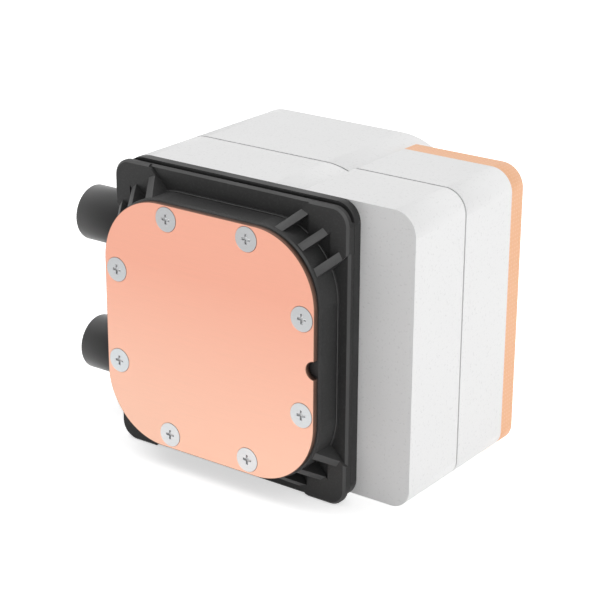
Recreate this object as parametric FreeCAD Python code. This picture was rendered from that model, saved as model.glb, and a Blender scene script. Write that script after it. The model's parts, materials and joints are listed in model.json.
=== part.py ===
import FreeCAD, Part
import math
import os

# The pump unit of an all in one liquid cooler. Sizes are in millimetres. X points
# right, Y back and Z up, and the origin is the centre of the cold plate's face.

# Clearances, and how far a rib or post is sunk into the wall that carries it
seat_gap = 0.3
thread_gap = 0.1
running_gap = 0.03
rib_root = 1.0

# Cold plate
plate_size = 56.0
plate_corner = 15.2
plate_thick = 1.5
notch_radius = 2.0
boss_thick = 1.0
fin_margin_x = 5.6
fin_margin_z = 6.6
fin_thick = 0.4
fin_pitch = 0.92
fin_gap = 0.2

# Cold plate screws
plate_screw_near = 10.65
plate_screw_inset = 3.2
plate_screw_radius = 1.5
plate_screw_head = 2.75
plate_screw_cone = 1.25
plate_screw_bite = 4.8
recess_width = 0.55
recess_span = 2.2
recess_depth = 0.6

# Ring of the pump body, behind the plate
ring_margin = 0.4
ring_height = 6.45
ring_chamfer = 0.4
bead_width = 0.3
bead_height = 0.5

# Front flange, corner pads and gussets
flange_margin_x = 2.6
flange_margin_z = 4.8
flange_corner = 4.0
flange_chamfer = 0.5
lip_thick = 0.65
pad_height = 0.75
pad_width = 9.8
pad_shoulder = 4.35
gusset_thick = 1.75
gusset_pitch = 5.9
gusset_start = 0.9
gusset_reach = 3.9

# Bracket groove and rear flange, its sides measured from the front flange's
groove_width = 0.85
groove_depth = 3.2
rear_thick = 2.15
rear_in_left = 0.2
rear_out_right = 0.05
rear_out_top = 0.55
rear_in_bottom = 0.7
rear_corner_left = 6.5
rear_corner_right = 4.5

# Flow passages in the body
gasket_margin = 3.3
gasket_groove_width = 1.6
gasket_groove_depth = 1.5
cavity_margin = 1.9
cavity_corner = 7.0
cavity_depth = 5.9
jet_thick = 1.2
jet_slot_margin = 2.0
jet_slot_width = 1.6
jet_post_inset = 2.4
jet_post_z = 8.0
jet_post_radius = 1.2
channel_width = 5.2
channel_depth = 2.0
web_thick = 1.5
feed_width = 5.0
feed_depth = 2.0
passage_wall = 1.8
inlet_passage_x = -14.2
inlet_passage_radius = 2.2
outlet_passage_x = -9.6
outlet_passage_inset = 2.3
outlet_passage_radius = 2.0

# Impeller and rotor
impeller_radius = 12.6
impeller_gap = 0.35
vane_height = 2.0
vane_count = 6
vane_thick = 1.0
vane_start = 1.4
vane_sweep = 40.0
vane_bend = 0.35
disc_thick = 0.8
hub_wall = 1.17
hub_length = 6.8
bushing_wall = 0.9
bushing_setback = 0.3
shaft_radius = 1.5
shaft_setback = 0.7
shaft_grip = 3.8
magnet_thick = 2.4
magnet_length = 14.0
washer_thick = 0.5
washer_width = 1.5

# Pump chamber and motor housing round the rotor
volute_thick = 1.2
eye_radius = 4.5
chamber_gap = 3.8
chamber_rim = 0.25
chamber_wall = 2.0
discharge_inset = 2.0
discharge_radius = 1.9
bore_gap = 1.2
bore_wall = 2.0
bore_end_gap = 2.75
end_flange_margin = 2.6
end_flange_thick = 2.6

# Motor can and its seal
can_gap = 0.9
well_wall = 0.9
well_front_thick = 1.2
can_flange_thick = 2.0
can_seal_margin = 2.7
can_seal_groove = 1.5
can_screw_margin = 2.15
can_screw_radius = 1.0
can_screw_head = 1.9
can_screw_head_height = 1.3
can_screw_bite = 1.9

# Stator
post_wall = 0.4
post_step = 1.1
post_step_length = 4.0
stack_length = 5.5
stator_gap = 0.6
tooth_count = 6
tooth_width = 1.5
tooth_tip = 1.0
tooth_tip_angle = 42.0
yoke_wall = 1.7
insulator_thick = 0.8
coil_thick = 0.8
coil_gap = 0.1
pin_count = 3
pin_radius = 0.3
pin_tail = 0.9

# Housing: a rounded square volume (main) merged with a box beside it (side),
# measured from the rear flange
main_overhang = 2.2
main_right = 26.0
main_corner_left = 9.0
main_corner_right = 17.0
main_rise = 6.95
main_chamfer = 0.5
side_left = 16.3
side_overhang = 13.25
side_corner_top = 5.2
side_corner_bottom = 4.4
side_inner_corner = 0.7
least_corner = 0.1
shell_in_bottom = 1.05
shell_wall = 2.0
shell_seam = 18.65
shell_seam_gap = 0.5
tongue_length = 2.0
tongue_thick = 1.2
opening_margin = 0.4

# Coppery band cover on the side box
cover_gap = 2.7
band_depth = 4.7
band_wall = 1.6
band_skirt = 2.7
band_skirt_thick = 1.0

# Screws that hold the front shell on the rear flange
body_screw_inset_x = 2.8
body_screw_inset_z = 8.5
body_screw_radius = 1.0
body_screw_head = 2.0
body_screw_head_height = 1.3
body_screw_bite = 2.7

# Ports, hose fittings and collars
port_setback = 8.4
inlet_inset = 19.24
outlet_inset = 15.04
flow_radius = 2.2
socket_radius = 4.6
socket_depth = 7.0
socket_wall = 2.0
port_boss_inset = 8.4
plug_wall = 1.0
seal_width = 0.8
fitting_rim = 1.0
fitting_length = 10.1
spigot_radius = 3.5
spigot_length = 13.6
spigot_setback = 0.7
barb_count = 2
barb_pitch = 4.6
barb_length = 3.6
barb_height = 0.7
collar_radius = 6.43
collar_wall = 0.93
collar_base = 1.2

# Control board and what is on it
board_gap = 6.0
board_thick = 1.6
board_in_left = 3.0
board_in_right = 1.8
board_in_top = 4.25
board_in_bottom = 3.85
board_corner = 2.0
board_post_inset = 3.0
board_post_z = -2.1
board_post_radius = 2.6
board_screw_radius = 1.0
board_screw_head = 1.9
board_screw_head_height = 1.3
board_screw_bite = 4.0
chips = [(8.0, -16.0, 7.0, 7.0, 1.1), (20.0, 12.0, 5.0, 6.4, 1.2), (-14.0, 12.0, 4.0, 5.0, 1.0)]
capacitor_inset = 10.5
capacitor_heights = [14.0, 4.0]
capacitor_radius = 3.15
capacitor_height = 6.0

# Power socket in the underside of the side box
socket_margin = 2.9
socket_width = 12.0
socket_height = 6.0
socket_length = 10.6
socket_recess = 0.25
socket_shell = 0.8
socket_cavity = 7.0
contact_count = 4
contact_pitch = 2.54
contact_size = 0.64
contact_inset = 1.0

# Outlines that follow from the sizes above
root_two = math.sqrt(2)
plate_half = plate_size / 2
ring_half = plate_half + ring_margin
ring_corner = plate_corner + ring_margin
flange_half_x = ring_half + flange_margin_x
flange_half_z = ring_half + flange_margin_z
gusset_shift = (flange_half_z - flange_half_x) / root_two
rear_left = flange_half_x - rear_in_left
rear_right = flange_half_x + rear_out_right
rear_top = flange_half_z + rear_out_top
rear_bottom = flange_half_z - rear_in_bottom
main_left = rear_left + main_overhang
side_right = rear_right + side_overhang
shell_top = rear_top
shell_bottom = rear_bottom - shell_in_bottom
plate_screw_far = plate_half - plate_screw_inset
gasket_half = plate_screw_far - gasket_margin
cavity_half = gasket_half - cavity_margin
fin_half_x = cavity_half - fin_margin_x
fin_half_z = cavity_half - fin_margin_z
jet_slot_half = fin_half_x - jet_slot_margin
outlet_passage_z = outlet_passage_inset - cavity_half
bushing_radius = shaft_radius + running_gap + bushing_wall
hub_radius = bushing_radius + hub_wall
vane_inner = hub_radius + vane_start
chamber_radius = impeller_radius + chamber_gap
discharge_x = chamber_radius - discharge_inset
bore_radius = impeller_radius + bore_gap
magnet_inner = impeller_radius - magnet_thick
well_radius = magnet_inner - can_gap
tooth_radius = well_radius - well_wall - stator_gap
post_radius = shaft_radius + post_wall
post_step_radius = post_radius + post_step
yoke_radius = post_radius + yoke_wall
can_seal_circle = bore_radius + can_seal_margin
can_screw_circle = can_seal_circle + can_seal_groove / 2 + can_screw_margin
end_flange_radius = can_screw_circle + end_flange_margin
inlet_z = flange_half_z - inlet_inset
outlet_z = outlet_inset - flange_half_z
port_boss_reach = main_left - port_boss_inset
plug_radius = socket_radius - seat_gap
seal_inner = plug_radius - seal_width
fitting_radius = socket_radius + fitting_rim
fitting_end = port_boss_reach + fitting_length
spigot_end = fitting_end + spigot_length
collar_end = spigot_end + spigot_setback
board_left = main_left - shell_wall - board_in_left
board_right = side_right - shell_wall - board_in_right
board_top = shell_top - shell_wall - board_in_top
board_bottom = shell_bottom - shell_wall - board_in_bottom
board_corner_left = main_corner_left - shell_wall - board_in_left

# Places along Y that follow from the sizes above
boss_back = plate_thick + boss_thick
floor_y = plate_thick + ring_height
pad_y = floor_y - pad_height
lip_back = floor_y + lip_thick
groove_back = lip_back + groove_width
shell_front = groove_back + rear_thick
jet_back = plate_thick + cavity_depth
jet_front = jet_back - jet_thick
fin_height = jet_front - fin_gap - boss_back
channel_back = jet_back + channel_depth
feed_front = channel_back + web_thick
volute_front = feed_front + feed_depth
volute_back = volute_front + volute_thick
vane_front = volute_back + impeller_gap
disc_front = vane_front + vane_height
disc_back = disc_front + disc_thick
chamber_back = disc_back + chamber_rim
bore_back = disc_back + magnet_length + bore_end_gap
can_back = bore_back + can_flange_thick
hub_back = vane_front + hub_length
washer_front = hub_back + seat_gap
well_front = washer_front + washer_thick
well_floor = well_front + well_front_thick
step_back = well_floor + post_step_length
stack_back = step_back + stack_length
shaft_front = volute_back + shaft_setback
shaft_back = well_front + shaft_grip
seam_front = shell_front + shell_seam
seam_back = seam_front + shell_seam_gap
port_y = shell_front + port_setback
board_front = can_back + board_gap
board_back = board_front + board_thick
side_back = board_back + capacitor_height + cover_gap + band_wall
main_back = side_back + main_rise
band_front = side_back - band_depth
side_open = band_front - shell_wall

plate_screws = []
for near, far in ((plate_screw_near, plate_screw_far), (plate_screw_far, plate_screw_near)):
    plate_screws += [(near, far), (near, -far), (-near, far), (-near, -far)]
body_screw_x = rear_left - body_screw_inset_x
body_screw_z = rear_bottom - body_screw_inset_z
body_screws = [(sx * body_screw_x, sz * body_screw_z) for sx in (-1, 1) for sz in (-1, 1)]
can_screw_offset = can_screw_circle / root_two
can_screws = [(sx * can_screw_offset, sz * can_screw_offset) for sx in (-1, 1) for sz in (-1, 1)]
board_post_x = board_right - board_post_inset
socket_x = board_post_x - board_post_radius - socket_margin - socket_width / 2
board_posts = [(board_post_x, board_top - board_post_inset), (board_post_x, board_post_inset - board_bottom),
               (board_post_inset - board_left, board_post_z)]
origin = FreeCAD.Vector(0, 0, 0)
along_x = FreeCAD.Vector(1, 0, 0)
along_y = FreeCAD.Vector(0, 1, 0)
along_z = FreeCAD.Vector(0, 0, 1)


# Rounded rectangle face in the plane at y; corners run top right, top left,
# bottom left, bottom right
def rounded_face(left, right, bottom, top, corners, y):
    centres = [(right, top, -1, -1, 0), (left, top, 1, -1, 90),
               (left, bottom, 1, 1, 180), (right, bottom, -1, 1, 270)]
    edges = []
    last = None
    first = None
    for (x, z, sx, sz, start), radius in zip(centres, corners):
        ends = []
        for angle in (start, start + 45, start + 90):
            turn = math.radians(angle)
            px = x + sx * radius + radius * math.cos(turn)
            pz = z + sz * radius + radius * math.sin(turn)
            ends.append(FreeCAD.Vector(px, y, pz))
        if last is not None:
            edges.append(Part.LineSegment(last, ends[0]).toShape())
        edges.append(Part.Arc(ends[0], ends[1], ends[2]).toShape())
        first = first or ends[0]
        last = ends[2]
    edges.append(Part.LineSegment(last, first).toShape())
    return Part.Face(Part.Wire(edges))


def rounded_block(left, right, bottom, top, corners, front, back):
    face = rounded_face(left, right, bottom, top, corners, front)
    return face.extrude(FreeCAD.Vector(0, back - front, 0))


def rounded_square(half, corner, front, back):
    return rounded_block(-half, half, -half, half, [corner] * 4, front, back)


def box(left, right, front, back, bottom, top):
    size = (right - left, back - front, top - bottom)
    return Part.makeBox(*size, FreeCAD.Vector(left, front, bottom))


def rod_y(x, z, radius, front, back):
    return Part.makeCylinder(radius, back - front, FreeCAD.Vector(x, front, z), along_y)


def rod_x(z, radius, left, right):
    return Part.makeCylinder(radius, right - left, FreeCAD.Vector(left, port_y, z), along_x)


def tube_y(inner, outer, front, back):
    return rod_y(0, 0, outer, front, back).cut(rod_y(0, 0, inner, front, back))


# Solid turned about the line along X through the port at height z, from pairs of x and radius
def turned_x(profile, z):
    points = [FreeCAD.Vector(x, port_y, z + radius) for x, radius in profile]
    face = Part.Face(Part.makePolygon(points + [points[0]]))
    return face.revolve(FreeCAD.Vector(0, port_y, z), along_x, 360)


def chamfer_at(solid, y, size):
    edges = [e for e in solid.Edges if all(abs(v.Point.y - y) < 1e-6 for v in e.Vertexes)]
    return solid.makeChamfer(size, edges)


def all_of(solids):
    joined = solids[0]
    if len(solids) > 1:
        joined = solids[0].multiFuse(solids[1:])
    return joined


# Copies of a shape in all four quadrants
def in_quadrants(shape):
    pair = [shape, shape.mirror(origin, along_x)]
    return pair + [half.mirror(origin, along_z) for half in pair]


# Screw with its head toward +Y
def pan_screw(x, z, radius, head_radius, head_height, tip, seat):
    return rod_y(x, z, radius, tip, seat).fuse(rod_y(x, z, head_radius, seat, seat + head_height))


def cross_recess(x, z, front, back):
    half = recess_span / 2
    width = recess_width / 2
    bar = box(x - half, x + half, front, back, z - width, z + width)
    return bar.fuse(box(x - width, x + width, front, back, z - half, z + half))


def plate_screw(x, z, gap):
    end = plate_thick + plate_screw_bite + gap
    cone = Part.makeCone(plate_screw_head + gap, plate_screw_radius + gap, plate_screw_cone,
                         FreeCAD.Vector(x, 0, z), along_y)
    return cone.fuse(rod_y(x, z, plate_screw_radius + gap, plate_screw_cone, end))


def make_cold_plate():
    plate = rounded_square(plate_half, plate_corner, 0, plate_thick)
    boss = rounded_square(cavity_half - seat_gap, cavity_corner - seat_gap, plate_thick, boss_back)
    plate = plate.fuse(boss)
    count = int((2 * fin_half_x - fin_thick) / fin_pitch) + 1
    start = -(count - 1) * fin_pitch / 2 - fin_thick / 2
    fins = []
    for index in range(count):
        left = start + index * fin_pitch
        fins.append(box(left, left + fin_thick, boss_back, boss_back + fin_height, -fin_half_z, fin_half_z))
    plate = plate.multiFuse(fins)
    for x, z in plate_screws:
        plate = plate.cut(plate_screw(x, z, thread_gap))
    return plate.cut(rod_y(plate_half, 0, notch_radius, 0, plate_thick))


def make_plate_screws():
    screws = []
    for x, z in plate_screws:
        screws.append(plate_screw(x, z, 0).cut(cross_recess(x, z, 0, recess_depth)))
    return Part.makeCompound(screws)


def gasket_ring(margin, front, back):
    half_width = gasket_groove_width / 2 - margin
    corner = cavity_corner + cavity_margin
    outer = rounded_square(gasket_half + half_width, corner + half_width, front, back)
    return outer.cut(rounded_square(gasket_half - half_width, corner - half_width, front, back))


def make_gasket():
    back = plate_thick + gasket_groove_depth - seat_gap
    return gasket_ring(seat_gap, plate_thick + seat_gap, back)


def make_jet_plate():
    plate = rounded_square(cavity_half - seat_gap, cavity_corner - seat_gap, jet_front, jet_back)
    post = rod_y(cavity_half - jet_post_inset, jet_post_z, jet_post_radius, boss_back + seat_gap, jet_back)
    plate = plate.multiFuse(in_quadrants(post))
    slot = box(-jet_slot_half, jet_slot_half, jet_front, jet_back, -jet_slot_width / 2, jet_slot_width / 2)
    notch = rod_y(outlet_passage_x, outlet_passage_z, outlet_passage_radius, jet_front, jet_back)
    left = outlet_passage_x - outlet_passage_radius
    right = outlet_passage_x + outlet_passage_radius
    notch = notch.fuse(box(left, right, jet_front, jet_back, -cavity_half, outlet_passage_z))
    return plate.cut(slot).cut(notch)


def flange_block(front, back):
    return rounded_block(-flange_half_x, flange_half_x, -flange_half_z, flange_half_z,
                         [flange_corner] * 4, front, back)


# Raised pad in the flange's top right corner. Its inner edge steps in from gusset to
# gusset, and its lower end is level with the side of the last gusset.
def corner_pad():
    inner = flange_half_x - pad_width
    step = flange_half_x - pad_shoulder
    middle = gusset_shift * root_two
    last = (gusset_shift - gusset_pitch - gusset_thick / 2) * root_two
    outline = [(inner, inner + middle), (inner, flange_half_z), (flange_half_x, flange_half_z),
               (flange_half_x, flange_half_x + last), (step, step + last), (step, step + middle)]
    points = [FreeCAD.Vector(x, pad_y, z) for x, z in outline]
    prism = Part.Face(Part.makePolygon(points + [points[0]])).extrude(along_y * (groove_back - pad_y))
    return chamfer_at(flange_block(pad_y, groove_back), pad_y, flange_chamfer).common(prism)


# Three parallel ribs that slope from the ring's top right corner to the pad, cut from
# one cone. The middle one points at the flange's corner.
def gussets():
    centre = ring_half - ring_corner
    top = plate_thick + gusset_start
    reach = ring_corner + gusset_reach
    slope = [(ring_corner - rib_root, top), (ring_corner, top), (reach, pad_y), (reach + rib_root, pad_y),
             (reach + rib_root, lip_back), (ring_corner - rib_root, lip_back)]
    points = [FreeCAD.Vector(centre + radius, y, centre) for radius, y in slope]
    profile = Part.Face(Part.makePolygon(points + [points[0]]))
    cone = profile.revolve(FreeCAD.Vector(centre, 0, centre), along_y, 360)
    ribs = []
    for offset in (gusset_shift - gusset_pitch, gusset_shift, gusset_shift + gusset_pitch):
        rib = box(0, 2 * ring_half, top, lip_back, offset - gusset_thick / 2, offset + gusset_thick / 2)
        rib.rotate(origin, along_y, -45)
        ribs.append(rib.common(cone))
    return all_of(ribs).common(flange_block(0, lip_back))


def make_front_of_body():
    ring = rounded_square(ring_half, ring_corner, plate_thick, lip_back)
    ring = chamfer_at(ring, plate_thick, ring_chamfer)
    bead = rounded_square(ring_half + bead_width, ring_corner + bead_width, floor_y - bead_height, lip_back)
    flange = chamfer_at(flange_block(floor_y, groove_back), floor_y, flange_chamfer)
    front = flange.multiFuse([ring, bead])
    front = front.multiFuse(in_quadrants(corner_pad()) + in_quadrants(gussets()))
    groove_floor = flange_half_z - groove_depth
    for low, high in ((groove_floor, flange_half_z), (-flange_half_z, -groove_floor)):
        front = front.cut(box(-flange_half_x, flange_half_x, lip_back, groove_back, low, high))
    corners = [rear_corner_right, rear_corner_left, rear_corner_left, rear_corner_right]
    rear = rounded_block(-rear_left, rear_right, -rear_bottom, rear_top, corners, groove_back, shell_front)
    return front.fuse(rear)


def port_boss(z, end):
    return rod_x(z, socket_radius + socket_wall, -port_boss_reach, end + passage_wall)


def port_bore(z, end):
    flow = rod_x(z, flow_radius, -port_boss_reach, end)
    return flow.fuse(rod_x(z, socket_radius, -port_boss_reach, -port_boss_reach + socket_depth))


def make_pump_body():
    inlet_end = inlet_passage_x + inlet_passage_radius
    outlet_end = outlet_passage_x + outlet_passage_radius
    inlet_column = rod_y(inlet_passage_x, inlet_z, inlet_passage_radius + passage_wall, groove_back, port_y)
    outlet_column = rod_y(outlet_passage_x, outlet_passage_z, outlet_passage_radius + passage_wall,
                          groove_back, port_y)
    body = make_front_of_body().multiFuse([
        rod_y(0, 0, chamber_radius + chamber_wall, groove_back, chamber_back + chamber_wall),
        rod_y(0, 0, bore_radius + bore_wall, chamber_back, bore_back),
        rod_y(0, 0, end_flange_radius, bore_back - end_flange_thick, bore_back),
        inlet_column,
        outlet_column,
        port_boss(inlet_z, inlet_end),
        port_boss(outlet_z, outlet_end)])
    feed_length = math.hypot(inlet_passage_x, inlet_z)
    feed = box(0, feed_length, feed_front, volute_front, -feed_width / 2, feed_width / 2)
    feed.rotate(origin, along_y, -math.degrees(math.atan2(inlet_z, inlet_passage_x)))
    channel_right = discharge_x + channel_width / 2
    cuts = [
        rounded_square(cavity_half, cavity_corner, plate_thick, jet_back),
        gasket_ring(0, plate_thick, plate_thick + gasket_groove_depth),
        box(-jet_slot_half, channel_right, jet_back, channel_back, -channel_width / 2, channel_width / 2),
        rod_y(discharge_x, 0, discharge_radius, channel_back, volute_front),
        feed,
        rod_y(0, 0, eye_radius, feed_front, volute_front),
        rod_y(inlet_passage_x, inlet_z, inlet_passage_radius, feed_front, port_y),
        rod_y(outlet_passage_x, outlet_passage_z, outlet_passage_radius, jet_back, port_y),
        rod_y(0, 0, chamber_radius, volute_front, chamber_back),
        rod_y(0, 0, bore_radius, chamber_back, bore_back),
        tube_y(can_seal_circle - can_seal_groove / 2, can_seal_circle + can_seal_groove / 2,
               bore_back - can_seal_groove, bore_back),
        port_bore(inlet_z, inlet_end),
        port_bore(outlet_z, outlet_end)]
    for x, z in plate_screws:
        cuts.append(plate_screw(x, z, thread_gap))
    for x, z in body_screws:
        tip = shell_front - body_screw_bite - thread_gap
        cuts.append(rod_y(x, z, body_screw_radius + thread_gap, tip, shell_front))
    for x, z in can_screws:
        tip = bore_back - can_screw_bite - thread_gap
        cuts.append(rod_y(x, z, can_screw_radius + thread_gap, tip, bore_back))
    for cut in cuts:
        body = body.cut(cut)
    return body


def make_volute_plate():
    plate = rod_y(0, 0, chamber_radius - seat_gap, volute_front, volute_back)
    plate = plate.cut(rod_y(0, 0, eye_radius, volute_front, volute_back))
    return plate.cut(rod_y(discharge_x, 0, discharge_radius, volute_front, volute_back))


# One backward curved vane, between two arcs that start the vane's thickness apart
def vane(turn):
    outer = impeller_radius
    middle = (vane_inner + outer) / 2
    arcs = []
    for shift in (0, vane_thick):
        points = []
        for radius, share in ((vane_inner, 0), (middle, vane_bend), (outer, 1)):
            angle = math.radians(turn - vane_sweep * share) + shift / radius
            points.append(FreeCAD.Vector(radius * math.cos(angle), vane_front, radius * math.sin(angle)))
        arcs.append(points)
    near, far = arcs
    edges = [Part.Arc(*near).toShape(), Part.LineSegment(near[2], far[2]).toShape(),
             Part.Arc(far[2], far[1], far[0]).toShape(), Part.LineSegment(far[0], near[0]).toShape()]
    return Part.Face(Part.Wire(edges)).extrude(FreeCAD.Vector(0, vane_height, 0))


def make_impeller():
    wheel = rod_y(0, 0, impeller_radius, disc_front, disc_back)
    wheel = wheel.fuse(rod_y(0, 0, hub_radius, vane_front, hub_back))
    wheel = wheel.multiFuse([vane(360 / vane_count * index) for index in range(vane_count)])
    return wheel.cut(rod_y(0, 0, bushing_radius, vane_front, hub_back))


def make_magnet():
    return tube_y(magnet_inner, impeller_radius, disc_back, disc_back + magnet_length)


def make_bushing():
    return tube_y(shaft_radius + running_gap, bushing_radius, vane_front + bushing_setback, hub_back)


def make_washer():
    return tube_y(shaft_radius + thread_gap, shaft_radius + washer_width, washer_front, well_front)


def make_shaft():
    return rod_y(0, 0, shaft_radius, shaft_front, shaft_back)


def make_can():
    can = rod_y(0, 0, end_flange_radius, bore_back, can_back)
    can = can.fuse(rod_y(0, 0, well_radius, well_front, can_back))
    can = can.cut(rod_y(0, 0, well_radius - well_wall, well_floor, can_back))
    can = can.fuse(rod_y(0, 0, post_step_radius, well_front, step_back))
    can = can.fuse(rod_y(0, 0, post_radius, step_back, stack_back))
    can = can.cut(rod_y(0, 0, shaft_radius + running_gap, well_front, shaft_back + seat_gap))
    for x, z in can_screws:
        can = can.cut(rod_y(x, z, can_screw_radius + thread_gap, bore_back, can_back))
    return can


def make_can_seal():
    half = can_seal_groove / 2 - seat_gap
    front = bore_back - can_seal_groove + seat_gap
    return tube_y(can_seal_circle - half, can_seal_circle + half, front, bore_back - seat_gap)


def make_can_screws():
    tip = bore_back - can_screw_bite
    size = (can_screw_radius, can_screw_head, can_screw_head_height)
    return Part.makeCompound([pan_screw(x, z, *size, tip, can_back) for x, z in can_screws])


# A hub with one arm per tooth, bored for the post
def stator_arms(bore, front, back):
    arms = rod_y(0, 0, yoke_radius, front, back)
    for index in range(tooth_count):
        arm = box(0, tooth_radius - tooth_tip / 2, front, back, -tooth_width / 2, tooth_width / 2)
        arm.rotate(origin, along_y, 360 / tooth_count * index)
        arms = arms.fuse(arm)
    return arms.cut(rod_y(0, 0, bore, front, back))


# The arms with a curved tip on each
def make_stator_core():
    core = stator_arms(post_radius + thread_gap, step_back, stack_back)
    rim = tube_y(tooth_radius - tooth_tip, tooth_radius, step_back, stack_back)
    half = math.tan(math.radians(tooth_tip_angle / 2)) * tooth_radius
    for index in range(tooth_count):
        wedge = box(0, tooth_radius, step_back, stack_back, -half, half)
        wedge.rotate(origin, along_y, 360 / tooth_count * index)
        core = core.fuse(wedge.common(rim))
    return core


def make_insulators():
    front = stator_arms(post_step_radius + thread_gap, step_back - insulator_thick, step_back)
    rear = stator_arms(post_radius + thread_gap, stack_back, stack_back + insulator_thick)
    return Part.makeCompound([front, rear])


def make_coils():
    coils = []
    inner = tooth_width / 2 + coil_gap
    front = step_back - insulator_thick - coil_gap
    back = stack_back + insulator_thick + coil_gap
    near = yoke_radius + coil_gap
    far = math.sqrt((tooth_radius - tooth_tip - coil_gap) ** 2 - (inner + coil_thick) ** 2)
    for index in range(tooth_count):
        coil = box(near, far, front - coil_thick, back + coil_thick, -inner - coil_thick, inner + coil_thick)
        coil = coil.cut(box(near, far, front, back, -inner, inner))
        coil.rotate(origin, along_y, 360 / tooth_count * index)
        coils.append(coil)
    return Part.makeCompound(coils)


def motor_pin_places():
    radius = tooth_radius - tooth_tip / 2
    turns = [math.radians(360 / tooth_count * index) for index in range(pin_count)]
    return [(radius * math.cos(turn), -radius * math.sin(turn)) for turn in turns]


def make_motor_pins():
    front = stack_back + insulator_thick
    pins = [rod_y(x, z, pin_radius, front, board_back + pin_tail) for x, z in motor_pin_places()]
    return Part.makeCompound(pins)


def main_block(inset, front, back):
    left = main_corner_left - inset
    right = main_corner_right - inset
    return rounded_block(-main_left + inset, main_right - inset, -shell_bottom + inset, shell_top - inset,
                         [right, left, left, right], front, back)


def side_block(inset, front, back):
    inner = max(side_inner_corner - inset, least_corner)
    top = max(side_corner_top - inset, least_corner)
    bottom = max(side_corner_bottom - inset, least_corner)
    return rounded_block(side_left + inset, side_right - inset, -shell_bottom + inset, shell_top - inset,
                         [top, inner, inner, bottom], front, back)


def shell_block(inset, front, back):
    return main_block(inset, front, back).fuse(side_block(inset, front, back))


# Round ways in from the left for the ports. In the left wall they are slots that are open
# to the front, so that the shell slides on past the ports.
def port_slots():
    reach = collar_radius + seat_gap
    wall_end = max(-main_left + shell_wall + tongue_thick, -fitting_end) + seat_gap
    slots = []
    for z in (inlet_z, outlet_z):
        slots.append(rod_x(z, reach, -main_left, -port_boss_reach - opening_margin))
        slots.append(box(-main_left, wall_end, shell_front, port_y, z - reach, z + reach))
    return all_of(slots)


def make_front_shell():
    inside = shell_front + shell_wall
    shell = shell_block(0, shell_front, seam_front)
    shell = shell.cut(shell_block(shell_wall, inside, seam_front))
    reach = end_flange_radius + opening_margin
    boss = socket_radius + socket_wall + opening_margin
    low = min(outlet_z - boss, -reach)
    high = max(inlet_z + boss, reach)
    shell = shell.cut(box(-port_boss_reach - opening_margin, reach, shell_front, inside, low, high))
    shell = shell.cut(port_slots())
    for x, z in board_posts:
        shell = shell.fuse(rod_y(x, z, board_post_radius, inside - rib_root, board_front))
    for x, z in board_posts:
        hole_front = board_front - board_screw_bite - thread_gap
        shell = shell.cut(rod_y(x, z, board_screw_radius + thread_gap, hole_front, board_front))
    for x, z in body_screws:
        shell = shell.cut(rod_y(x, z, body_screw_radius + thread_gap, shell_front, inside))
    return shell


def socket_opening():
    half = socket_width / 2 + seat_gap
    front = board_front - socket_height - seat_gap
    wall = shell_wall + seat_gap + tongue_thick
    return box(socket_x - half, socket_x + half, front, board_front + seat_gap,
               -shell_bottom, -shell_bottom + wall)


def make_rear_shell():
    inset = shell_wall + seat_gap
    lip_end = seam_back + tongue_length
    rest = side_block(0, seam_back, band_front)
    main = chamfer_at(main_block(0, seam_back, main_back), main_back, main_chamfer)
    shell = main.fuse(rest)
    shell = shell.cut(shell_block(inset + tongue_thick, seam_back, lip_end))
    shell = shell.cut(shell_block(shell_wall, lip_end, side_open))
    shell = shell.cut(main_block(shell_wall, side_open, main_back - shell_wall))
    shell = shell.cut(side_block(shell_wall, side_open, band_front).cut(main_block(0, side_open, band_front)))
    tongue = shell_block(inset, seam_front - tongue_length, seam_back)
    tongue = tongue.cut(shell_block(inset + tongue_thick, seam_front - tongue_length, seam_back))
    return shell.fuse(tongue).cut(socket_opening()).cut(port_slots())


def make_band_cover():
    cover = side_block(0, band_front, side_back)
    cover = cover.cut(side_block(band_wall, band_front, side_back - band_wall))
    inset = shell_wall + seat_gap
    skirt = side_block(inset, band_front - band_skirt, side_back - band_wall)
    skirt = skirt.cut(side_block(inset + band_skirt_thick, band_front - band_skirt, side_back - band_wall))
    cover = cover.fuse(skirt)
    return cover.cut(main_block(-seat_gap, band_front - band_skirt, side_back))


def make_body_screws():
    inside = shell_front + shell_wall
    tip = shell_front - body_screw_bite
    size = (body_screw_radius, body_screw_head, body_screw_head_height)
    return Part.makeCompound([pan_screw(x, z, *size, tip, inside) for x, z in body_screws])


# Plug with a seal groove, flange and barbed spigot, all turned from one profile
def make_fitting(z):
    groove = seal_width / 2 + seat_gap
    seal_x = -port_boss_reach + socket_depth / 2
    groove_floor = seal_inner - seat_gap
    plug_end = -port_boss_reach + socket_depth - seat_gap
    profile = [(plug_end, plug_radius), (seal_x + groove, plug_radius), (seal_x + groove, groove_floor),
               (seal_x - groove, groove_floor), (seal_x - groove, plug_radius),
               (-port_boss_reach, plug_radius), (-port_boss_reach, fitting_radius),
               (-fitting_end, fitting_radius), (-fitting_end, spigot_radius)]
    for index in reversed(range(barb_count)):
        tip = -spigot_end + index * barb_pitch
        profile += [(tip + barb_length, spigot_radius), (tip + barb_length, spigot_radius + barb_height),
                    (tip, spigot_radius)]
    profile += [(-spigot_end, groove_floor - plug_wall), (plug_end, groove_floor - plug_wall)]
    return turned_x(profile, z)


def make_port_seal(z):
    middle = -port_boss_reach + socket_depth / 2
    left = middle - seal_width / 2
    right = middle + seal_width / 2
    return rod_x(z, plug_radius, left, right).cut(rod_x(z, seal_inner, left, right))


def make_collar(z):
    inner = collar_radius - collar_wall
    base_hole = spigot_radius + barb_height + seat_gap
    base = fitting_end + collar_base
    profile = [(-fitting_end, base_hole), (-fitting_end, collar_radius), (-collar_end, collar_radius),
               (-collar_end, inner), (-base, inner), (-base, base_hole)]
    return turned_x(profile, z)


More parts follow.
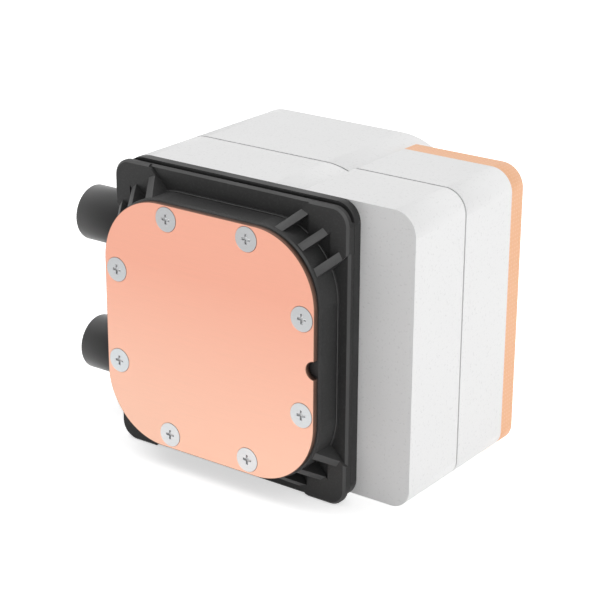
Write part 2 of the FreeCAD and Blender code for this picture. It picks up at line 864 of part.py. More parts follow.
def make_board():
    corners = [board_corner, board_corner_left, board_corner_left, board_corner]
    board = rounded_block(-board_left, board_right, -board_bottom, board_top, corners,
                          board_front, board_back)
    for x, z in board_posts:
        board = board.cut(rod_y(x, z, board_screw_radius + thread_gap, board_front, board_back))
    for x, z in motor_pin_places():
        board = board.cut(rod_y(x, z, pin_radius + seat_gap, board_front, board_back))
    for x, z in contact_places():
        half = contact_size / 2 + thread_gap
        board = board.cut(box(x - half, x + half, board_front, board_back, z - half, z + half))
    return board


def make_chips():
    parts = []
    for x, z, width, height, thick in chips:
        parts.append(box(x - width / 2, x + width / 2, board_back, board_back + thick,
                         z - height / 2, z + height / 2))
    return Part.makeCompound(parts)


def make_capacitors():
    x = board_right - capacitor_inset
    top = board_back + capacitor_height
    parts = [rod_y(x, z, capacitor_radius, board_back, top) for z in capacitor_heights]
    return Part.makeCompound(parts)


def make_board_screws():
    tip = board_front - board_screw_bite
    size = (board_screw_radius, board_screw_head, board_screw_head_height)
    return Part.makeCompound([pan_screw(x, z, *size, tip, board_back) for x, z in board_posts])


def socket_mouth():
    return -shell_bottom + socket_recess


def contact_places():
    start = socket_x - (contact_count - 1) * contact_pitch / 2
    z = socket_mouth() + socket_length - contact_size
    return [(start + index * contact_pitch, z) for index in range(contact_count)]


def make_socket_pins():
    middle = board_front - socket_height / 2
    half = contact_size / 2
    pins = []
    for x, z in contact_places():
        low = socket_mouth() + contact_inset
        pin = box(x - half, x + half, middle - half, middle + half, low, z + half)
        tail = box(x - half, x + half, middle - half, board_back + pin_tail, z - half, z + half)
        pins.append(pin.fuse(tail))
    return Part.makeCompound(pins)


def make_power_socket():
    half = socket_width / 2
    low = socket_mouth()
    front = board_front - socket_height
    body = box(socket_x - half, socket_x + half, front, board_front, low, low + socket_length)
    wall = socket_shell
    body = body.cut(box(socket_x - half + wall, socket_x + half - wall, front + wall, board_front - wall,
                        low, low + socket_cavity))
    return body.cut(make_socket_pins())


def make_all():
    return {
        "cold_plate": make_cold_plate(),
        "cold_plate_screws": make_plate_screws(),
        "cold_plate_gasket": make_gasket(),
        "jet_plate": make_jet_plate(),
        "pump_body": make_pump_body(),
        "volute_plate": make_volute_plate(),
        "impeller": make_impeller(),
        "rotor_magnet": make_magnet(),
        "rotor_bushing": make_bushing(),
        "rotor_shaft": make_shaft(),
        "thrust_washer": make_washer(),
        "motor_can": make_can(),
        "can_seal": make_can_seal(),
        "can_screws": make_can_screws(),
        "stator_core": make_stator_core(),
        "stator_insulators": make_insulators(),
        "stator_coils": make_coils(),
        "motor_pins": make_motor_pins(),
        "front_shell": make_front_shell(),
        "rear_shell": make_rear_shell(),
        "band_cover": make_band_cover(),
        "body_screws": make_body_screws(),
        "inlet_fitting": make_fitting(inlet_z),
        "outlet_fitting": make_fitting(outlet_z),
        "inlet_seal": make_port_seal(inlet_z),
        "outlet_seal": make_port_seal(outlet_z),
        "inlet_collar": make_collar(inlet_z),
        "outlet_collar": make_collar(outlet_z),
        "control_board": make_board(),
        "board_chips": make_chips(),
        "board_capacitors": make_capacitors(),
        "board_screws": make_board_screws(),
        "power_socket": make_power_socket(),
        "socket_pins": make_socket_pins()}


os.makedirs("parts", exist_ok=True)
for name, shape in make_all().items():
    if not shape.isValid():
        print("not valid:", name)
    shape.exportStep("parts/" + name + ".step")
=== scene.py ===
import bmesh
import bpy
import json
import math
from mathutils import Matrix, Vector


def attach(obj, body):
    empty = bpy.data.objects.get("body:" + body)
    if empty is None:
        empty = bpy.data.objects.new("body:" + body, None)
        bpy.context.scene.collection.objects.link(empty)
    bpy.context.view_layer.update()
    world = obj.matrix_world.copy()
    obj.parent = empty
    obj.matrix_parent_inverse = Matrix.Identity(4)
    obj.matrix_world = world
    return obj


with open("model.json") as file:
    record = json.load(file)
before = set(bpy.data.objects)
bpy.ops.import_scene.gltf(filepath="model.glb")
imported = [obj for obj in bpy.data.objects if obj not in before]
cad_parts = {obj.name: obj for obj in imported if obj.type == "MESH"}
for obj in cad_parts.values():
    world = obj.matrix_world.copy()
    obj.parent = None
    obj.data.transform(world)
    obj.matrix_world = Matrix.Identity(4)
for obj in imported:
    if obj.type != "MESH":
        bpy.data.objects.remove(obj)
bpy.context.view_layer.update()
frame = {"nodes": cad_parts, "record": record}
nodes = frame["nodes"]
print("frame loaded:", len(nodes), "nodes")

mm = 0.001

# The camera stands where the photograph was taken from. Lengths are in millimetres and angles in degrees.
studio = {
    "cameraSpot": (232.163, -285.237, 148.095),
    "azimuth": 36.065,
    "elevation": 20.701,
    "roll": 0.310,
    "focalPixels": 1872.13,
    "framePixels": 600.0,
    "sensorWidth": 36.0,
    "nearest": 10.0,
    "furthest": 50000.0,
    "worldDiffuse": 0.36,          # strength of the sky for dull surfaces
    "worldTilt": 0.9,              # how much stronger it is behind the object than in front
    "lamps": {
        "keyLight": {
            "direction": (0.60, 0.30, 0.12), "strength": 1.98, "angle": 160.0, "hiddenFrom": ["glossy"]},
        "topLight": {
            "direction": (-0.45, -0.12, 0.88), "strength": 0.8, "angle": 40.0, "hiddenFrom": []},
        "frontLight": {
            "direction": (0.44, -0.62, 0.65), "strength": 0.8, "angle": 40.0, "hiddenFrom": ["diffuse"]},
    },
    "floorHeight": -33.2,
    "floorHalf": 3000.0,
    "floorColour": (0.93, 0.93, 0.93),
    "floorSeen": 0.60,             # added to the floor for the camera
    "floorMirrored": 0.30,         # added to the floor in reflections
    "floorBounce": 0.25,           # added to the floor where it lights dull surfaces
}


def addCamera(values):
    azimuth, elevation, roll = (math.radians(values[key]) for key in ("azimuth", "elevation", "roll"))
    level = math.cos(elevation)
    back = Vector((math.sin(azimuth) * level, -math.cos(azimuth) * level, math.sin(elevation)))
    right = (-back).cross(Vector((0, 0, 1))).normalized()
    up = right.cross(-back)
    turnedRight = math.cos(roll) * right + math.sin(roll) * up
    turnedUp = -math.sin(roll) * right + math.cos(roll) * up
    data = bpy.data.cameras.new("photoCamera")
    data.sensor_fit = "HORIZONTAL"
    data.sensor_width = values["sensorWidth"]
    data.lens = values["focalPixels"] * values["sensorWidth"] / values["framePixels"]
    data.clip_start = values["nearest"] * mm
    data.clip_end = values["furthest"] * mm
    camera = bpy.data.objects.new("photoCamera", data)
    bpy.context.scene.collection.objects.link(camera)
    turn = Matrix((turnedRight, turnedUp, back)).transposed().to_4x4()
    camera.matrix_world = Matrix.Translation(Vector(values["cameraSpot"]) * mm) @ turn
    bpy.context.scene.camera = camera


# Gives an input a plain value, or a link from another node's output
def setInput(tree, socket, value):
    if isinstance(value, (int, float)):
        socket.default_value = value
    else:
        tree.links.new(value, socket)


def mathNode(tree, operation, *values):
    node = tree.nodes.new("ShaderNodeMath")
    node.operation = operation
    for index, value in enumerate(values):
        setInput(tree, node.inputs[index], value)
    return node.outputs[0]


def rangeNode(tree, value, low, high, toLow, toHigh):
    node = tree.nodes.new("ShaderNodeMapRange")
    for label, setting in (("From Min", low), ("From Max", high), ("To Min", toLow), ("To Max", toHigh)):
        setInput(tree, node.inputs[label], setting)
    tree.links.new(value, node.inputs["Value"])
    return node.outputs["Result"]


def partsOf(tree, vector):
    node = tree.nodes.new("ShaderNodeSeparateXYZ")
    tree.links.new(vector, node.inputs[0])
    return node.outputs


def placeOf(tree, kind):
    return tree.nodes.new("ShaderNodeTexCoord").outputs[kind]


# 1 for rays that should see the pale background: camera, glossy and transmission
def seenRays(tree):
    path = tree.nodes.new("ShaderNodeLightPath")
    seen = path.outputs["Is Camera Ray"]
    for name in ("Is Glossy Ray", "Is Transmission Ray"):
        seen = mathNode(tree, "MAXIMUM", seen, path.outputs[name])
    return seen


def addWorld(values):
    world = bpy.data.worlds.new("studioWorld")
    bpy.context.scene.world = world
    world.use_nodes = True
    tree = world.node_tree
    tree.nodes.clear()
    background = tree.nodes.new("ShaderNodeBackground")
    background.inputs["Color"].default_value = (1, 1, 1, 1)
    front = values["worldDiffuse"] * (1 - values["worldTilt"])
    back = values["worldDiffuse"] * (1 + values["worldTilt"])
    sky = rangeNode(tree, partsOf(tree, placeOf(tree, "Generated"))["Y"], -1, 1, front, back)
    tree.links.new(rangeNode(tree, seenRays(tree), 0, 1, sky, 1.0), background.inputs["Strength"])
    output = tree.nodes.new("ShaderNodeOutputWorld")
    tree.links.new(background.outputs[0], output.inputs["Surface"])


def addLamps(values):
    for name, lampValues in values["lamps"].items():
        data = bpy.data.lights.new(name, "SUN")
        data.energy = lampValues["strength"]
        data.angle = math.radians(lampValues["angle"])
        lamp = bpy.data.objects.new(name, data)
        bpy.context.scene.collection.objects.link(lamp)
        lamp.rotation_euler = Vector(lampValues["direction"]).to_track_quat("Z", "Y").to_euler()
        lamp.visible_glossy = "glossy" not in lampValues["hiddenFrom"]
        lamp.visible_diffuse = "diffuse" not in lampValues["hiddenFrom"]


def floorMaterial(values):
    material = bpy.data.materials.new("studioFloor")
    material.use_nodes = True
    tree = material.node_tree
    tree.nodes.clear()
    diffuse = tree.nodes.new("ShaderNodeBsdfDiffuse")
    diffuse.inputs["Color"].default_value = (*values["floorColour"], 1)
    glow = tree.nodes.new("ShaderNodeEmission")
    glow.inputs["Color"].default_value = (1, 1, 1, 1)
    path = tree.nodes.new("ShaderNodeLightPath")
    mirrored = rangeNode(tree, seenRays(tree), 0, 1, values["floorBounce"], values["floorMirrored"])
    lift = rangeNode(tree, path.outputs["Is Camera Ray"], 0, 1, mirrored, values["floorSeen"])
    tree.links.new(lift, glow.inputs["Strength"])
    both = tree.nodes.new("ShaderNodeAddShader")
    tree.links.new(diffuse.outputs[0], both.inputs[0])
    tree.links.new(glow.outputs[0], both.inputs[1])
    output = tree.nodes.new("ShaderNodeOutputMaterial")
    tree.links.new(both.outputs[0], output.inputs["Surface"])
    return material


def addFloor(values):
    mesh = bpy.data.meshes.new("studioFloor")
    half = values["floorHalf"] * mm
    height = values["floorHeight"] * mm
    corners = [(-half, -half, height), (half, -half, height), (half, half, height), (-half, half, height)]
    mesh.from_pydata(corners, [], [(0, 1, 2, 3)])
    floor = bpy.data.objects.new("studioFloor", mesh)
    bpy.context.scene.collection.objects.link(floor)
    mesh.materials.append(floorMaterial(values))


addCamera(studio)
addWorld(studio)
addLamps(studio)
addFloor(studio)
bpy.context.scene.view_settings.view_transform = "Standard"
print("studio built")

noiseLow, noiseHigh = 0.3, 0.7     # most of a noise texture's values lie between these
fineDetail, slowDetail = 2.0, 1.0  # octaves of a fine noise and of a slow one


def newGroup(name, inputs, outputs):
    group = bpy.data.node_groups.new(name, "ShaderNodeTree")
    for label, value in inputs.items():
        socket = group.interface.new_socket(name=label, in_out="INPUT", socket_type="NodeSocketFloat")
        socket.default_value = value
    for label in outputs:
        group.interface.new_socket(name=label, in_out="OUTPUT", socket_type="NodeSocketFloat")
    return group, group.nodes.new("NodeGroupInput").outputs, group.nodes.new("NodeGroupOutput").inputs


def noiseNode(tree, place, scale, detail):
    node = tree.nodes.new("ShaderNodeTexNoise")
    node.inputs["Detail"].default_value = detail
    tree.links.new(place, node.inputs["Vector"])
    setInput(tree, node.inputs["Scale"], scale)
    return node.outputs["Fac"]


# Length of a flat vector from its two parts
def lengthNode(tree, first, second):
    squares = [mathNode(tree, "MULTIPLY", value, value) for value in (first, second)]
    return mathNode(tree, "SQRT", mathNode(tree, "ADD", *squares))


# Fine moulded grain: scattered specks and a pebbled height. Scale counts grains per metre.
def buildMouldedGrain():
    inputs = {"Scale": 1500.0, "Speck Share": 0.4}
    group, given, out = newGroup("mouldedGrain", inputs, ["Specks", "Height", "Drift"])
    rarest, shareSpan, softness = 0.75, 0.45, 0.12     # noise levels where specks begin and fade in
    driftShare = 0.03                                  # scale of the slow drift beside the grain's
    place = placeOf(group, "Object")
    fine = noiseNode(group, place, given["Scale"], fineDetail)
    low = mathNode(group, "SUBTRACT", rarest, mathNode(group, "MULTIPLY", given["Speck Share"], shareSpan))
    specks = rangeNode(group, fine, low, mathNode(group, "ADD", low, softness), 0.0, 1.0)
    drift = noiseNode(group, place, mathNode(group, "MULTIPLY", given["Scale"], driftShare), slowDetail)
    group.links.new(specks, out["Specks"])
    group.links.new(fine, out["Height"])
    group.links.new(drift, out["Drift"])
    return group


# Fine drawn lines along X, for rolled and brushed metal
def buildBrushedLines():
    inputs = {"Scale": 4000.0, "Stretch": 0.02}
    group, given, out = newGroup("brushedLines", inputs, ["Lines", "Height"])
    parts = partsOf(group, placeOf(group, "Object"))
    joined = group.nodes.new("ShaderNodeCombineXYZ")
    group.links.new(mathNode(group, "MULTIPLY", parts["X"], given["Stretch"]), joined.inputs["X"])
    group.links.new(parts["Y"], joined.inputs["Y"])
    group.links.new(parts["Z"], joined.inputs["Z"])
    lines = noiseNode(group, joined.outputs[0], given["Scale"], fineDetail)
    group.links.new(rangeNode(group, lines, noiseLow, noiseHigh, 0.0, 1.0), out["Lines"])
    group.links.new(lines, out["Height"])
    return group


# 0 at the Low height and 1 at the High height, in metres
def buildHeightFade():
    group, given, out = newGroup("heightFade", {"Low": -0.03, "High": 0.03}, ["Fade"])
    height = partsOf(group, placeOf(group, "Object"))["Z"]
    group.links.new(rangeNode(group, height, given["Low"], given["High"], 0.0, 1.0), out["Fade"])
    return group


# 0 in front of the Start depth and 1 behind the End depth, in metres along Y
def buildDepthFade():
    group, given, out = newGroup("depthFade", {"Start": 0.0002, "End": 0.0004}, ["Deep"])
    depth = partsOf(group, placeOf(group, "Object"))["Y"]
    group.links.new(rangeNode(group, depth, given["Start"], given["End"], 0.0, 1.0), out["Deep"])
    return group


# 1 on the outer sides of a rounded square that faces Y and round a notch in its right side,
# and 0 inside it. Lengths are in metres.
def buildOuterRim():
    inputs = {"Half": 0.028, "Corner": 0.015, "Band": 0.0002, "Notch Height": 0.0, "Notch Radius": 0.002}
    group, given, out = newGroup("outerRim", inputs, ["Rim"])
    parts = partsOf(group, placeOf(group, "Object"))
    straight = mathNode(group, "SUBTRACT", given["Half"], given["Corner"])
    past = []
    for axis in ("X", "Z"):
        beyond = mathNode(group, "SUBTRACT", mathNode(group, "ABSOLUTE", parts[axis]), straight)
        past.append(mathNode(group, "MAXIMUM", beyond, 0.0))
    inner = mathNode(group, "SUBTRACT", given["Corner"], given["Band"])
    halfBand = mathNode(group, "MULTIPLY", given["Band"], 0.5)
    edge = mathNode(group, "SUBTRACT", given["Corner"], halfBand)
    rim = rangeNode(group, lengthNode(group, *past), inner, edge, 0.0, 1.0)
    along = mathNode(group, "SUBTRACT", parts["X"], given["Half"])
    above = mathNode(group, "SUBTRACT", parts["Z"], given["Notch Height"])
    notchEdge = mathNode(group, "ADD", given["Notch Radius"], given["Band"])
    notch = rangeNode(group, lengthNode(group, along, above), given["Notch Radius"], notchEdge, 1.0, 0.0)
    group.links.new(mathNode(group, "MAXIMUM", rim, notch), out["Rim"])
    return group


# 1 on faces that slope between the Steep and the Level share of Y, such as chamfers and rib tops,
# where they lie behind the From depth in metres. It masks a painted highlight on those faces.
def buildSlopeCatch():
    inputs = {"Steep": 0.5, "Level": 0.92, "From": 0.0022}
    group, given, out = newGroup("slopeCatch", inputs, ["Slope"])
    steepFade, levelFade = 0.2, 0.05
    facing = mathNode(group, "ABSOLUTE", partsOf(group, placeOf(group, "Normal"))["Y"])
    steeper = mathNode(group, "SUBTRACT", given["Steep"], steepFade)
    rise = rangeNode(group, facing, steeper, given["Steep"], 0.0, 1.0)
    flatter = mathNode(group, "ADD", given["Level"], levelFade)
    fall = rangeNode(group, facing, given["Level"], flatter, 1.0, 0.0)
    depth = partsOf(group, placeOf(group, "Object"))["Y"]
    behind = mathNode(group, "GREATER_THAN", depth, given["From"])
    slope = mathNode(group, "MULTIPLY", rise, fall)
    group.links.new(mathNode(group, "MULTIPLY", slope, behind), out["Slope"])
    return group


# Rows of small dots round the rim of a cover that closes toward +Y
def buildDotGrid():
    group, given, out = newGroup("dotGrid", {"Pitch": 0.001, "Dot Size": 0.3}, ["Dots"])
    core = 0.6     # share of the dot's radius that is at full strength
    parts = partsOf(group, placeOf(group, "Object"))
    offsets = []
    for value in (mathNode(group, "SUBTRACT", parts["X"], parts["Z"]), parts["Y"]):
        turns = mathNode(group, "DIVIDE", value, given["Pitch"])
        offsets.append(mathNode(group, "SUBTRACT", mathNode(group, "FRACT", turns), 0.5))
    inner = mathNode(group, "MULTIPLY", given["Dot Size"], core)
    dots = rangeNode(group, lengthNode(group, *offsets), inner, given["Dot Size"], 1.0, 0.0)
    group.links.new(dots, out["Dots"])
    return group


groups = {
    "grain": buildMouldedGrain(),
    "brushed": buildBrushedLines(),
    "fade": buildHeightFade(),
    "depth": buildDepthFade(),
    "rim": buildOuterRim(),
    "slope": buildSlopeCatch(),
    "dots": buildDotGrid(),
}
print("shader groups built:", len(groups))

# The shader's own socket for each key of a finish, and its value where a finish gives none
shaderSockets = {
    "metallic": ("Metallic", 0.0),
    "roughness": ("Roughness", 0.5),
    "specular": ("Specular IOR Level", 0.5),
    "coat": ("Coat Weight", 0.0),
    "coatRoughness": ("Coat Roughness", 0.1),
    "sheen": ("Sheen Weight", 0.0),
    "sheenRoughness": ("Sheen Roughness", 0.5),
}

# Places of a Mix node's colour sockets, whose labels repeat
mixFirst, mixSecond, mixResult = 6, 7, 2


def newMaterial(name, values):
    material = bpy.data.materials.new(name)
    material.use_nodes = True
    tree = material.node_tree
    shader = tree.nodes["Principled BSDF"]
    for key, (label, usual) in shaderSockets.items():
        shader.inputs[label].default_value = values.get(key, usual)
    return material, tree, shader


# Places a group with its inputs set, and gives back its outputs
def placeGroup(tree, key, settings):
    node = tree.nodes.new("ShaderNodeGroup")
    node.node_tree = groups[key]
    for label, value in settings.items():
        node.inputs[label].default_value = value
    return node.outputs


def placeDepth(tree, start, end):
    return placeGroup(tree, "depth", {"Start": start, "End": end})["Deep"]


def placeGrain(tree, values):
    return placeGroup(tree, "grain", {"Scale": values["grainScale"], "Speck Share": values["speckShare"]})


def placeLines(tree, values):
    return placeGroup(tree, "brushed", {"Scale": values["lineScale"], "Stretch": values["lineStretch"]})


def mixColours(tree, mask, first, second, blend="MIX"):
    node = tree.nodes.new("ShaderNodeMix")
    node.data_type = "RGBA"
    node.blend_type = blend
    setInput(tree, node.inputs["Factor"], mask)
    for index, value in ((mixFirst, first), (mixSecond, second)):
        if isinstance(value, tuple):
            node.inputs[index].default_value = (*value, 1)
        else:
            tree.links.new(value, node.inputs[index])
    return node.outputs[mixResult]


def addRoughness(tree, shader, mask, low, high, smoothest, roughest):
    tree.links.new(rangeNode(tree, mask, low, high, smoothest, roughest), shader.inputs["Roughness"])


def addBump(tree, shader, height, depth):
    bump = tree.nodes.new("ShaderNodeBump")
    bump.inputs["Strength"].default_value = 1.0
    bump.inputs["Distance"].default_value = depth
    tree.links.new(height, bump.inputs["Height"])
    tree.links.new(bump.outputs["Normal"], shader.inputs["Normal"])


# Plastic or rubber with a fine moulded grain
def mouldedFinish(name, values):
    material, tree, shader = newMaterial(name, values)
    spread = 0.08
    rough = values["roughness"]
    grain = placeGrain(tree, values)
    colour = mixColours(tree, grain["Specks"], values["colour"], values["speckColour"])
    # Painted highlight on sloping faces such as chamfers and rib tops
    if "slopeHighlightColour" in values:
        slope = placeGroup(tree, "slope", {})["Slope"]
        colour = mixColours(tree, slope, colour, values["slopeHighlightColour"])
    tree.links.new(colour, shader.inputs["Base Color"])
    addRoughness(tree, shader, grain["Drift"], noiseLow, noiseHigh, rough - spread, rough + spread)
    addBump(tree, shader, grain["Height"], values["grainDepth"])
    return material


# Metal with fine drawn lines
def metalFinish(name, values):
    material, tree, shader = newMaterial(name, values)
    spread = 0.08
    rough = values["roughness"]
    lines = placeLines(tree, values)
    colour = mixColours(tree, lines["Lines"], values["colour"], values["lineColour"])
    tree.links.new(colour, shader.inputs["Base Color"])
    addRoughness(tree, shader, lines["Lines"], 0, 1, rough, rough + spread)
    addBump(tree, shader, lines["Height"], values["lineDepth"])
    return material


# Flat metal with a painted reflection that grows lighter toward the foot of the cooler. Its rim has
# painted shade that darkens along Y, or its recesses have painted shade on their sides and a painted
# highlight on their bottom.
def plateFinish(name, values):
    material, tree, shader = newMaterial(name, values)
    spread = 0.06
    rough = values["roughness"]
    fade = placeGroup(tree, "fade", {"Low": values["fadeLow"], "High": values["fadeHigh"]})["Fade"]
    lines = placeLines(tree, values)
    # Painted reflection: the metal grows lighter toward the foot of the cooler
    paintedReflection = mixColours(tree, fade, values["footReflectionColour"], values["headReflectionColour"])
    shade = mixColours(tree, lines["Lines"], values["lineDark"], (1.0, 1.0, 1.0))
    colour = mixColours(tree, 1.0, paintedReflection, shade, "MULTIPLY")
    deep = placeDepth(tree, values["deepStart"], values["deepEnd"])
    # Painted shade on the plate's side and round its notch: brown at the front, near black deeper along Y
    if "rimShadeColour" in values:
        rim = placeGroup(tree, "rim", {
            "Half": values["rimHalf"], "Corner": values["rimCorner"], "Band": values["rimBand"],
            "Notch Height": values["notchHeight"], "Notch Radius": values["notchRadius"]})["Rim"]
        paintedRimShade = mixColours(tree, deep, values["rimShadeColour"], values["rimDeepShadeColour"])
        colour = mixColours(tree, rim, colour, paintedRimShade)
    else:
        # Painted shade on the recess sides and a painted highlight on the recess bottom
        colour = mixColours(tree, deep, colour, values["recessShadeColour"])
        bottom = placeDepth(tree, values["bottomStart"], values["bottomEnd"])
        colour = mixColours(tree, bottom, colour, values["recessHighlightColour"])
    tree.links.new(colour, shader.inputs["Base Color"])
    addRoughness(tree, shader, lines["Lines"], 0, 1, rough, rough + spread)
    addBump(tree, shader, lines["Height"], values["lineDepth"])
    return material


# Coppery cover with rows of fine dots
def dottedFinish(name, values):
    material, tree, shader = newMaterial(name, values)
    spread = 0.05
    rough = values["roughness"]
    dots = placeGroup(tree, "dots", {"Pitch": values["dotPitch"], "Dot Size": values["dotSize"]})["Dots"]
    grain = placeGrain(tree, values)
    base = mixColours(tree, grain["Specks"], values["colour"], values["speckColour"])
    colour = mixColours(tree, dots, base, values["dotColour"])
    tree.links.new(colour, shader.inputs["Base Color"])
    addRoughness(tree, shader, grain["Drift"], noiseLow, noiseHigh, rough - spread, rough + spread)
    addBump(tree, shader, dots, values["dotDepth"])
    return material


# Lengths are in metres
finishes = {
    "coldPlateCopper": (plateFinish, {
        # The head and foot colours are a painted reflection, lighter toward the foot
        "headReflectionColour": (0.88, 0.435, 0.32), "footReflectionColour": (1.0, 0.64, 0.49), "lineDark": (0.97, 0.97, 0.97),
        # The rim colours are painted shade on the plate's side and round the notch
        "rimShadeColour": (0.20, 0.11, 0.08), "rimDeepShadeColour": (0.05, 0.04, 0.035),
        "deepStart": 0.0005, "deepEnd": 0.0013, "rimHalf": 0.028, "rimCorner": 0.0152, "rimBand": 0.00016,
        "notchHeight": 0.0, "notchRadius": 0.00202, "fadeLow": -0.027, "fadeHigh": 0.014,
        "metallic": 0.9, "roughness": 0.38, "lineScale": 5000.0, "lineStretch": 0.02, "lineDepth": 0.000002}),
    "screwSteel": (plateFinish, {
        # The head and foot colours are a painted reflection, lighter toward the foot
        "headReflectionColour": (0.51, 0.517, 0.525), "footReflectionColour": (0.79, 0.845, 0.87), "lineDark": (0.95, 0.95, 0.95),
        # The recess colours are painted shade on the sides and a painted highlight at the bottom
        "recessShadeColour": (0.50, 0.50, 0.505), "deepStart": 0.00005, "deepEnd": 0.0001,
        "recessHighlightColour": (0.80, 0.81, 0.82), "bottomStart": 0.00054, "bottomEnd": 0.00058,
        "fadeLow": -0.027, "fadeHigh": 0.020, "metallic": 0.9, "roughness": 0.34,
        "lineScale": 3000.0, "lineStretch": 0.3, "lineDepth": 0.000003}),
    "whiteShell": (mouldedFinish, {
        "colour": (0.85, 0.85, 0.85), "speckColour": (0.77, 0.77, 0.77), "roughness": 0.55, "specular": 0.35,
        "grainScale": 1800.0, "speckShare": 0.35, "grainDepth": 0.000014}),
    "blackBody": (mouldedFinish, {
        "colour": (0.028, 0.028, 0.028), "speckColour": (0.035, 0.035, 0.035),
        # The slope colour is a painted highlight on chamfers and rib tops
        "slopeHighlightColour": (0.068, 0.068, 0.068), "roughness": 0.5, "specular": 0.35,
        "grainScale": 2200.0, "speckShare": 0.5, "grainDepth": 0.00001}),
    "portBlack": (mouldedFinish, {
        "colour": (0.003, 0.003, 0.003), "speckColour": (0.006, 0.006, 0.006),
        "roughness": 0.5, "specular": 0.2, "sheen": 0.8, "sheenRoughness": 0.5,
        "grainScale": 2600.0, "speckShare": 0.3, "grainDepth": 0.000004}),
    "bandCopper": (dottedFinish, {
        "colour": (0.86, 0.48, 0.28), "speckColour": (0.82, 0.44, 0.25), "dotColour": (0.89, 0.54, 0.34),
        "metallic": 0.35, "roughness": 0.45, "dotPitch": 0.001, "dotSize": 0.26, "dotDepth": 0.000015,
        "grainScale": 1800.0, "speckShare": 0.35}),
    "innerPlastic": (mouldedFinish, {
        "colour": (0.03, 0.03, 0.032), "speckColour": (0.05, 0.05, 0.053), "roughness": 0.5,
        "grainScale": 2200.0, "speckShare": 0.4, "grainDepth": 0.00001}),
    "impellerPlastic": (mouldedFinish, {
        "colour": (0.72, 0.70, 0.64), "speckColour": (0.66, 0.63, 0.56), "roughness": 0.42,
        "grainScale": 2000.0, "speckShare": 0.4, "grainDepth": 0.000008}),
    "sealRubber": (mouldedFinish, {
        "colour": (0.012, 0.012, 0.012), "speckColour": (0.03, 0.03, 0.03),
        "roughness": 0.75, "specular": 0.3,
        "grainScale": 3000.0, "speckShare": 0.3, "grainDepth": 0.00001}),
    "magnetFerrite": (mouldedFinish, {
        "colour": (0.05, 0.05, 0.055), "speckColour": (0.12, 0.12, 0.13), "roughness": 0.6,
        "grainScale": 2600.0, "speckShare": 0.35, "grainDepth": 0.00002}),
    "polishedCeramic": (mouldedFinish, {
        "colour": (0.82, 0.81, 0.77), "speckColour": (0.78, 0.77, 0.72), "roughness": 0.2, "coat": 0.3,
        "grainScale": 2600.0, "speckShare": 0.2, "grainDepth": 0.000002}),
    "carbonBushing": (mouldedFinish, {
        "colour": (0.03, 0.03, 0.032), "speckColour": (0.08, 0.08, 0.08), "roughness": 0.4,
        "grainScale": 3200.0, "speckShare": 0.3, "grainDepth": 0.000006}),
    "statorSteel": (metalFinish, {
        "colour": (0.34, 0.34, 0.35), "lineColour": (0.44, 0.44, 0.45), "metallic": 1.0, "roughness": 0.4,
        "lineScale": 3500.0, "lineStretch": 1.0, "lineDepth": 0.00001}),
    "windingCopper": (metalFinish, {
        "colour": (0.55, 0.22, 0.09), "lineColour": (0.75, 0.36, 0.16),
        "metallic": 0.9, "roughness": 0.28, "coat": 0.6,
        "lineScale": 5000.0, "lineStretch": 0.1, "lineDepth": 0.00003}),
    "contactMetal": (metalFinish, {
        "colour": (0.74, 0.60, 0.32), "lineColour": (0.80, 0.68, 0.40), "metallic": 1.0, "roughness": 0.25,
        "lineScale": 4000.0, "lineStretch": 0.3, "lineDepth": 0.000002}),
    "solderMask": (mouldedFinish, {
        "colour": (0.012, 0.085, 0.035), "speckColour": (0.016, 0.10, 0.042), "roughness": 0.3, "coat": 0.4,
        "grainScale": 700.0, "speckShare": 0.5, "grainDepth": 0.000006}),
    "chipResin": (mouldedFinish, {
        "colour": (0.018, 0.018, 0.02), "speckColour": (0.03, 0.03, 0.032), "roughness": 0.6,
        "grainScale": 3000.0, "speckShare": 0.4, "grainDepth": 0.00001}),
    "capacitorCan": (metalFinish, {
        "colour": (0.62, 0.63, 0.65), "lineColour": (0.72, 0.73, 0.75), "metallic": 1.0, "roughness": 0.3,
        "lineScale": 3000.0, "lineStretch": 0.5, "lineDepth": 0.000003}),
}
materials = {name: build(name, values) for name, (build, values) in finishes.items()}
print("materials built:", len(materials))

# The finish for each material slot of the part
slotFinish = {
    "copper": "coldPlateCopper", "screw_steel": "screwSteel", "black_plastic": "blackBody",
    "inner_plastic": "innerPlastic", "impeller_plastic": "impellerPlastic", "white_plastic": "whiteShell",
    "copper_trim": "bandCopper", "port_black": "portBlack", "seal_rubber": "sealRubber",
    "magnet": "magnetFerrite", "shaft_ceramic": "polishedCeramic", "bushing_carbon": "carbonBushing",
    "stator_steel": "statorSteel", "winding": "windingCopper", "contact_metal": "contactMetal",
    "board_green": "solderMask", "chip_black": "chipResin", "capacitor_can": "capacitorCan",
}

# Soft edges of the pieces that show. Widths are in millimetres and angles in degrees.
softEdges = {
    "widths": {
        "cold_plate": 0.1, "cold_plate_screws": 0.06, "pump_body": 0.12, "front_shell": 0.15,
        "rear_shell": 0.15, "band_cover": 0.15, "inlet_collar": 0.25, "outlet_collar": 0.25,
    },
    "mergeGap": 0.002,
    "flatAngle": 0.5,
    "sharpAngle": 35,
    "segments": 2,
}


def softenEdges(node, width, values):
    weld = node.modifiers.new("weld", "WELD")
    weld.merge_threshold = values["mergeGap"] * mm
    flat = node.modifiers.new("flatFaces", "DECIMATE")
    flat.decimate_type = "DISSOLVE"
    flat.angle_limit = math.radians(values["flatAngle"])
    bevel = node.modifiers.new("softEdge", "BEVEL")
    bevel.width = width * mm
    bevel.segments = values["segments"]
    bevel.limit_method = "ANGLE"
    bevel.angle_limit = math.radians(values["sharpAngle"])


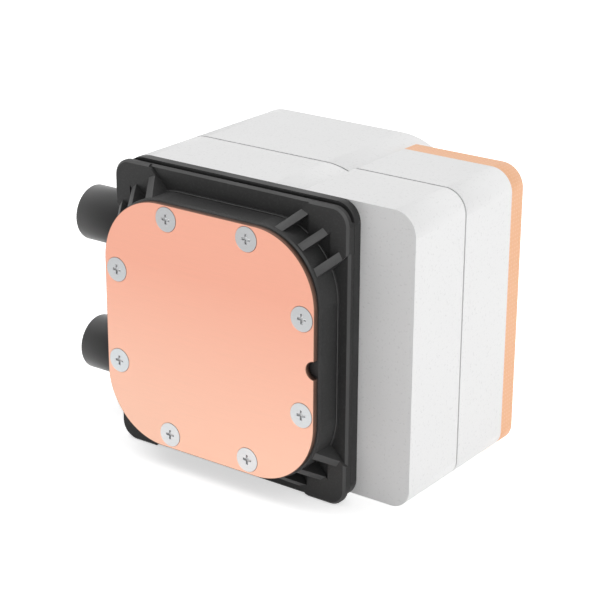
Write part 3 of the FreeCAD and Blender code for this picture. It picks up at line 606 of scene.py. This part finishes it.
for part in frame["record"]["subparts"]:
    name = part["node"]
    nodes[name].material_slots[0].material = materials[slotFinish[part["material_slot"]]]
    if name in softEdges["widths"]:
        softenEdges(nodes[name], softEdges["widths"][name], softEdges)
print("nodes dressed")


# Adds a piece to the body from points in metres
def bodyPiece(name, points, faces):
    mesh = bpy.data.meshes.new(name)
    mesh.from_pydata(points, [], faces)
    piece = bpy.data.objects.new(name, mesh)
    bpy.context.scene.collection.objects.link(piece)
    shape = bmesh.new()
    shape.from_mesh(mesh)
    bmesh.ops.recalc_face_normals(shape, faces=shape.faces)
    shape.to_mesh(mesh)
    shape.free()
    mesh.materials.append(materials["blackBody"])
    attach(piece, "housing")


# Small wedges that close the corners between the rib ends and the corner pads. Each outline is in
# millimetres: along the rib from the corner's centre, and across from the diagonal.
ribToes = {
    "cornerCentre": 12.8,
    "padFace": 7.19,
    "foot": 9.0,
    "outlines": [
        [(20.31, 0.686), (21.18, 1.556), (20.31, 2.426)],
        [(18.4, 8.33), (19.82, 8.33), (20.07, 8.13), (18.9, 7.0)],
    ],
}


def addRibToes(values):
    points, faces = [], []
    quadrants = [(flipX, flipZ) for flipX in (1, -1) for flipZ in (1, -1)]
    for outline in values["outlines"]:
        count = len(outline)
        for flipX, flipZ in quadrants:
            first = len(points)
            for depth in (values["padFace"], values["foot"]):
                for along, across in outline:
                    x = values["cornerCentre"] + (along - across) / math.sqrt(2)
                    z = values["cornerCentre"] + (along + across) / math.sqrt(2)
                    points.append((flipX * x * mm, depth * mm, flipZ * z * mm))
            near = list(range(first, first + count))
            far = list(range(first + count, first + 2 * count))
            faces += [near, far[::-1]]
            for index in range(count):
                after = (index + 1) % count
                faces.append((near[index], far[index], far[after], near[after]))
    bodyPiece("ribToes", points, faces)


addRibToes(ribToes)
print("rib toes added")

# Fine raised line that runs round the foot of the ring. Lengths are in millimetres.
footLine = {
    "half": 28.55,
    "corner": 15.75,
    "width": 0.26,
    "foot": 7.46,
    "crest": 7.35,
    "cornerSteps": 16,
}


def addFootLine(values):
    points, faces = [], []
    straight = values["half"] - values["corner"]
    steps = values["cornerSteps"]
    side = values["width"] / 2
    section = ((-side, values["foot"]), (0, values["crest"]), (side, values["foot"]))
    for quarter, (signX, signZ) in enumerate(((1, 1), (-1, 1), (-1, -1), (1, -1))):
        for step in range(steps + 1):
            angle = math.radians(90 * (quarter + step / steps))
            for offset, depth in section:
                reach = values["corner"] + offset
                x = signX * straight + reach * math.cos(angle)
                z = signZ * straight + reach * math.sin(angle)
                points.append((x * mm, depth * mm, z * mm))
    count = len(section)
    turns = len(points) // count
    for turn in range(turns):
        here, after = count * turn, count * ((turn + 1) % turns)
        for corner in range(count):
            other = (corner + 1) % count
            faces.append((here + corner, after + corner, after + other, here + other))
    bodyPiece("footLine", points, faces)


addFootLine(footLine)
print("foot line added")
